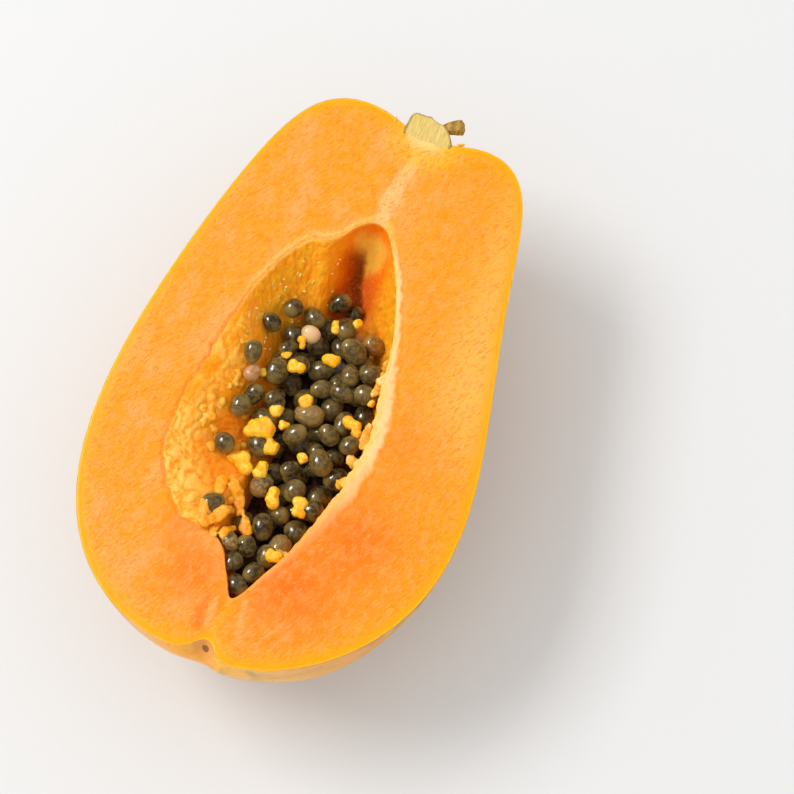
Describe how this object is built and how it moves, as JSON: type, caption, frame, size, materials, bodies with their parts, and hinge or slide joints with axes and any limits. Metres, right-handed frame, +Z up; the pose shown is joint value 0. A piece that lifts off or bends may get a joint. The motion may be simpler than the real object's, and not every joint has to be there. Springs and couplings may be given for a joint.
{
  "type": "papaya half",
  "caption": "Half of a ripe papaya cut lengthwise, lying cut face up, with a heap of dark seeds in its cavity and a halved stem stub.",
  "frame": {"origin": "middle of the bounding box, on the surface the fruit lies on", "axes": "+X to the right of the fruit's axis, +Y along the axis from the blossom end to the stem end, +Z up, out of the cut face"},
  "size_m": [0.1126, 0.1814, 0.057],
  "materials": {
    "fruit": "moist orange flesh with a dimpled cut face, under a thin smooth yellow skin",
    "seeds": "dark olive seeds in a wet clear coat",
    "stem": "pale yellow-green cut stem with olive-brown bark"
  },
  "bodies": {
    "root": {"papaya_half": "fruit", "seed_heap": "seeds", "stem_stub": "stem"}
  },
  "joints": []
}
